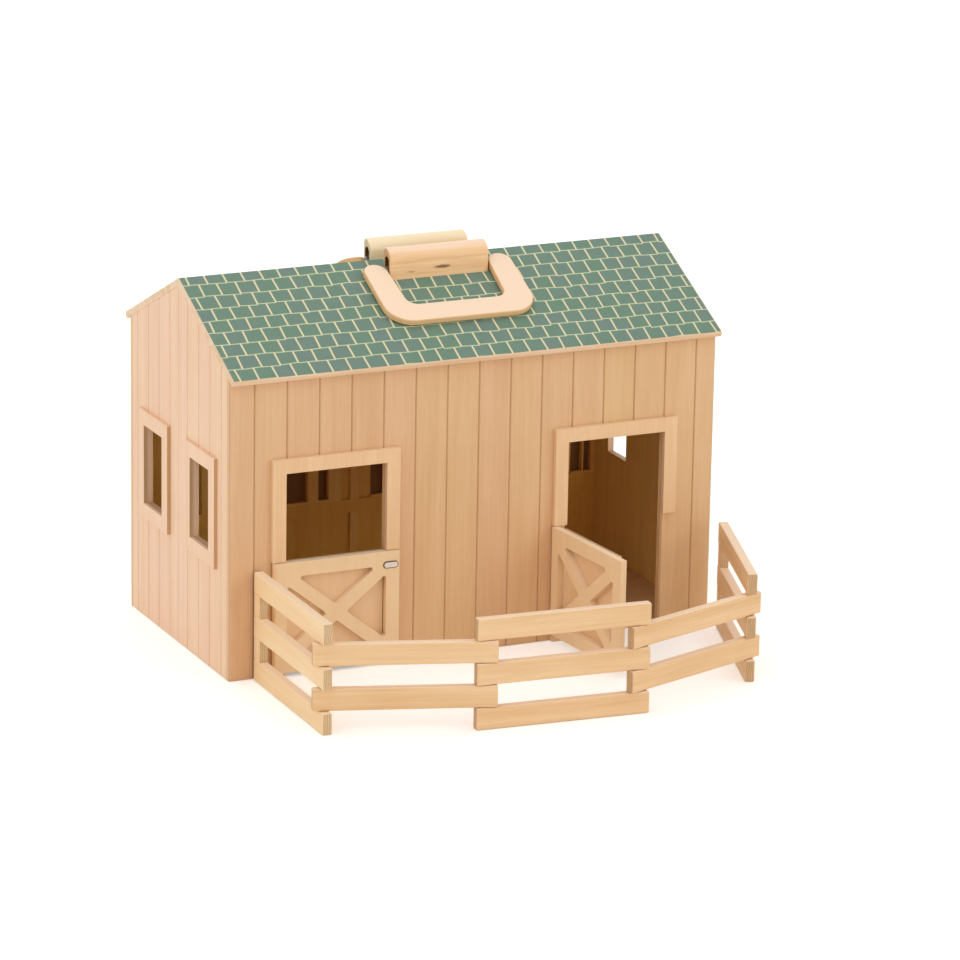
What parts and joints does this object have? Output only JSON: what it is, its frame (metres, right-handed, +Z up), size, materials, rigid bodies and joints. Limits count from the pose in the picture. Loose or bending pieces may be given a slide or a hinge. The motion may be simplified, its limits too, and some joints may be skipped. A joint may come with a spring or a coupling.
{
  "type": "toy barn",
  "caption": "Wooden toy barn that opens like a book on gable hinges, with half doors, windows, carrying handles that fold onto the shingled roof and a folding corral fence.",
  "frame": {"origin": "on the ground under the middle of the ridge, where the two halves meet", "axes": "+X along the ridge to the hinged gable, -Y towards the doors and the corral, +Z up"},
  "size_m": [0.3425, 0.3298, 0.2499],
  "materials": {
    "wall_wood": "clear-lacquered plywood with V grooves",
    "gable_wood": "clear-lacquered plywood with V grooves",
    "floor_wood": "clear-lacquered plywood",
    "trim_wood": "clear-lacquered solid pale wood",
    "door_wood": "clear-lacquered plywood",
    "panel_wood": "clear-lacquered plywood",
    "casing_wood": "clear-lacquered solid pale wood",
    "bar_wood": "clear-lacquered solid pale wood with small knots",
    "handle_wood": "clear-lacquered plywood with rounded edges",
    "fence_wood": "clear-lacquered solid pale wood",
    "roof_board": "plywood printed with a green shingle pattern, edges bare",
    "dark_board": "dark-painted thin board",
    "brass": "brushed brass",
    "steel": "plain steel pin",
    "pull_metal": "polished metal"
  },
  "bodies": {
    "front_half": {"front_wall": "wall_wood", "front_floor": "floor_wood", "front_roof": "roof_board", "front_left_gable": "gable_wood", "front_right_gable": "gable_wood", "front_window_trim": "trim_wood", "left_doorway_trim": "trim_wood", "right_doorway_trim": "trim_wood", "door_foot_blocks": "trim_wood", "front_ridge_bar": "bar_wood", "front_hinge_leaves": "brass", "front_hinge_screws": "brass", "hinge_pins": "brass"},
    "rear_half": {"rear_wall": "wall_wood", "rear_floor": "floor_wood", "rear_roof": "roof_board", "rear_left_gable": "gable_wood", "rear_right_gable": "gable_wood", "rear_window_trim": "trim_wood", "rear_ridge_bar": "bar_wood", "stall_backing": "dark_board", "stall_panel": "panel_wood", "stall_casings": "casing_wood", "rear_hinge_leaves": "brass", "rear_hinge_screws": "brass"},
    "left_door": {"left_door_overlay": "door_wood", "left_door_board": "door_wood", "left_door_pins": "steel", "left_door_pull": "pull_metal"},
    "right_door": {"right_door_overlay": "door_wood", "right_door_board": "door_wood", "right_door_pins": "steel"},
    "handle_pins_front": {"front_handle_pins": "steel"},
    "handle_front": {"front_handle": "handle_wood"},
    "handle_pins_rear": {"rear_handle_pins": "steel"},
    "handle_rear": {"rear_handle": "handle_wood"},
    "fence_section_1": {"fence_1_rail_1": "fence_wood", "fence_1_rail_3": "fence_wood", "fence_1_rail_5": "fence_wood", "fence_1_spacers": "fence_wood", "fence_pin_1": "steel"},
    "fence_section_2": {"fence_2_rail_2": "fence_wood", "fence_2_rail_4": "fence_wood", "fence_pin_2": "steel"},
    "fence_section_3": {"fence_3_rail_1": "fence_wood", "fence_3_rail_3": "fence_wood", "fence_3_rail_5": "fence_wood", "fence_pin_3": "steel"},
    "fence_section_4": {"fence_4_rail_2": "fence_wood", "fence_4_rail_4": "fence_wood", "fence_pin_4": "steel"},
    "fence_section_5": {"fence_5_rail_1": "fence_wood", "fence_5_rail_3": "fence_wood", "fence_5_rail_5": "fence_wood", "fence_5_spacers": "fence_wood"}
  },
  "joints": [
    {"name": "halves_hinge", "type": "hinge", "parent": "front_half", "child": "rear_half", "pos_m": [0.1703, 0.00015, 0], "axis": [0, 0, -1], "range_deg": [0, 175]},
    {"name": "left_door_hinge", "type": "hinge", "parent": "front_half", "child": "left_door", "pos_m": [-0.1384, -0.0867, 0], "axis": [0, 0, -1], "range_deg": [0, 88]},
    {"name": "right_door_hinge", "type": "hinge", "parent": "front_half", "child": "right_door", "pos_m": [0.0558, -0.0867, 0], "axis": [0, 0, 1], "range_deg": [-20, 85]},
    {"name": "front_pins_slide", "type": "slide", "parent": "front_half", "child": "handle_pins_front", "axis": [0, 0, 1], "range_m": [0, 0.0055]},
    {"name": "front_handle_hinge", "type": "hinge", "parent": "handle_pins_front", "child": "handle_front", "pos_m": [0.0024, -0.014, 0.23586], "axis": [-1, 0, 0], "range_deg": [0, 115.5]},
    {"name": "rear_pins_slide", "type": "slide", "parent": "rear_half", "child": "handle_pins_rear", "axis": [0, 0, 1], "range_m": [0, 0.0055]},
    {"name": "rear_handle_hinge", "type": "hinge", "parent": "handle_pins_rear", "child": "handle_rear", "pos_m": [0.0009, 0.014, 0.23586], "axis": [1, 0, 0], "range_deg": [0, 115.5]},
    {"name": "fence_stand", "type": "slide", "parent": "front_half", "child": "fence_section_1", "axis": [0, -1, 0], "range_m": [0, 0.15]},
    {"name": "fence_hinge_1", "type": "hinge", "parent": "fence_section_1", "child": "fence_section_2", "pos_m": [-0.15065, -0.19375, 0], "axis": [0, 0, 1], "range_deg": [-150, 0]},
    {"name": "fence_hinge_2", "type": "hinge", "parent": "fence_section_2", "child": "fence_section_3", "pos_m": [-0.05641, -0.22474, 0], "axis": [0, 0, -1], "range_deg": [0, 150]},
    {"name": "fence_hinge_3", "type": "hinge", "parent": "fence_section_3", "child": "fence_section_4", "pos_m": [0.04246, -0.23286, 0], "axis": [0, 0, 1], "range_deg": [-150, 0]},
    {"name": "fence_hinge_4", "type": "hinge", "parent": "fence_section_4", "child": "fence_section_5", "pos_m": [0.13636, -0.20089, 0], "axis": [0, 0, -1], "range_deg": [-45, 150]}
  ],
  "couplings": [
    {"joint": "front_pins_slide", "follows": "front_handle_hinge", "m_per_rad": 0.00273},
    {"joint": "rear_pins_slide", "follows": "rear_handle_hinge", "m_per_rad": 0.00273}
  ]
}
